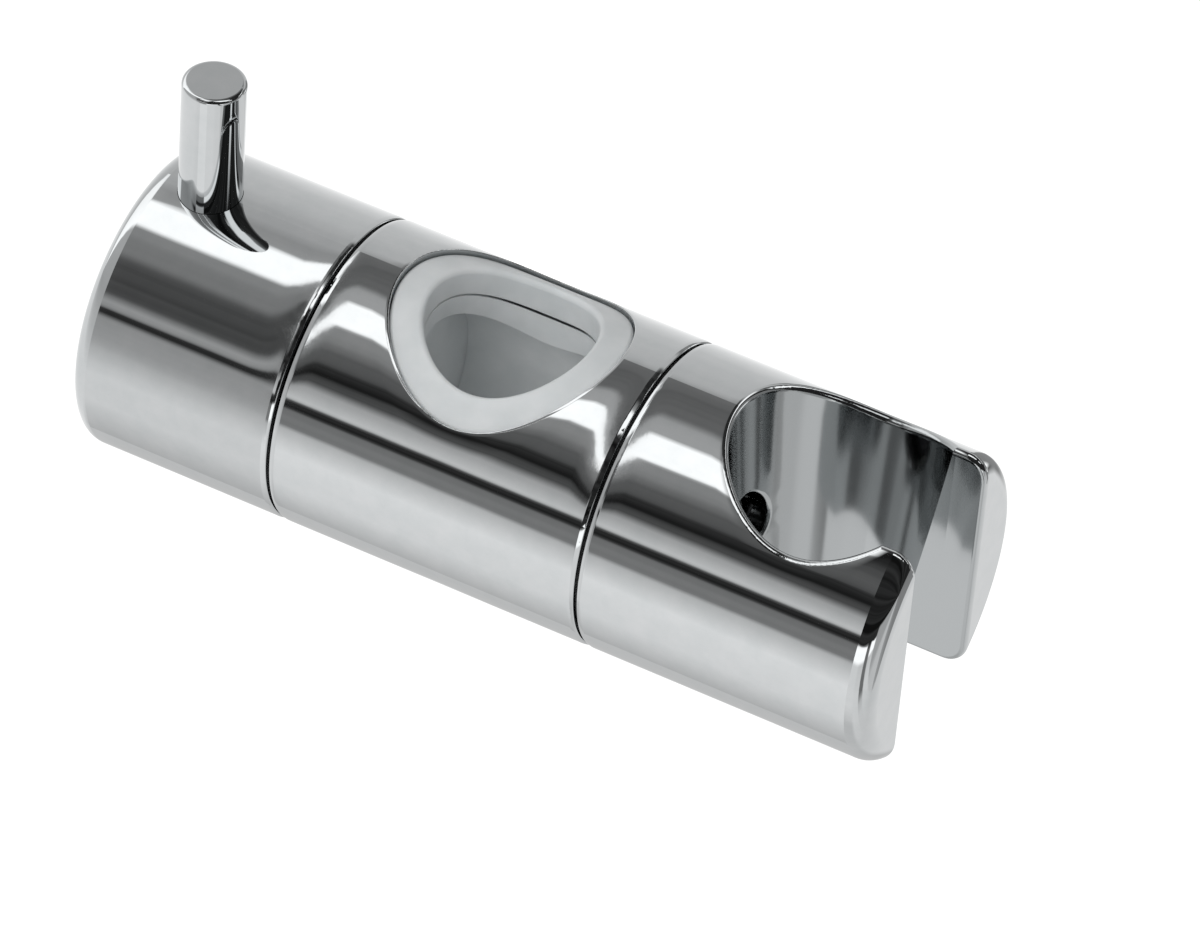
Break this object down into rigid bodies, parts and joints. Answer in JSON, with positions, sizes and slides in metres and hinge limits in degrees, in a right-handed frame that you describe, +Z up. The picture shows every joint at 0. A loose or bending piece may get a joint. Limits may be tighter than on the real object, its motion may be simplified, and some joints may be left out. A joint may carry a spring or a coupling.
{
  "type": "shower rail slider",
  "caption": "Cylindrical sliding bracket that clamps on a vertical shower rail with a lever knob and holds a handset in a tilting conical cup.",
  "frame": {"origin": "where the rail's axis crosses the cylinder's axis, midway between the two rail bushes", "axes": "+Z up the rail through the bushes, +X along the cylinder from the knob towards the cup, -Y towards the user"},
  "size_m": [0.105, 0.038, 0.0549],
  "materials": {
    "chrome_shell": "bright chrome plate on moulded plastic",
    "chrome_lever": "bright chrome plate on turned brass",
    "bush_plastic": "milky natural acetal, moulded",
    "core_plastic": "black moulded plastic",
    "dark_ring": "black moulded plastic",
    "steel": "plain stainless steel",
    "dark_screw": "blackened steel",
    "brass": "turned brass"
  },
  "bodies": {
    "body": {"body_shell": "chrome_shell", "rail_bush_upper": "bush_plastic", "rail_bush_lower": "bush_plastic", "clamp_bulkhead": "core_plastic", "guide_pins": "steel", "thrust_ring": "dark_ring", "swivel_hub": "core_plastic", "swing_stop_pin": "steel", "friction_ring": "dark_ring", "swivel_spring": "steel", "swivel_washer": "steel", "swivel_screw": "dark_screw", "return_spring": "steel"},
    "sleeve": {"clamp_sleeve": "bush_plastic", "draw_bolt": "steel", "stop_washer": "steel", "stop_screw": "steel"},
    "knob": {"knob_shell": "chrome_shell", "knob_core": "core_plastic", "clamp_nut": "brass", "lever_insert": "brass", "lever_pin": "chrome_lever"},
    "holder": {"holder_shell": "chrome_shell"}
  },
  "joints": [
    {"name": "knob_turn", "type": "hinge", "parent": "body", "child": "knob", "pos_m": [0, 0, 0], "axis": [1, 0, 0], "range_deg": [0, 120]},
    {"name": "sleeve_draw", "type": "slide", "parent": "body", "child": "sleeve", "axis": [-1, 0, 0], "range_m": [0, 0.0004167], "deforming": ["return_spring"]},
    {"name": "holder_swivel", "type": "hinge", "parent": "body", "child": "holder", "pos_m": [0, 0, 0], "axis": [1, 0, 0], "range_deg": [-75, 75]}
  ],
  "couplings": [
    {"joint": "sleeve_draw", "follows": "knob_turn", "m_per_rad": 0.00019894}
  ]
}
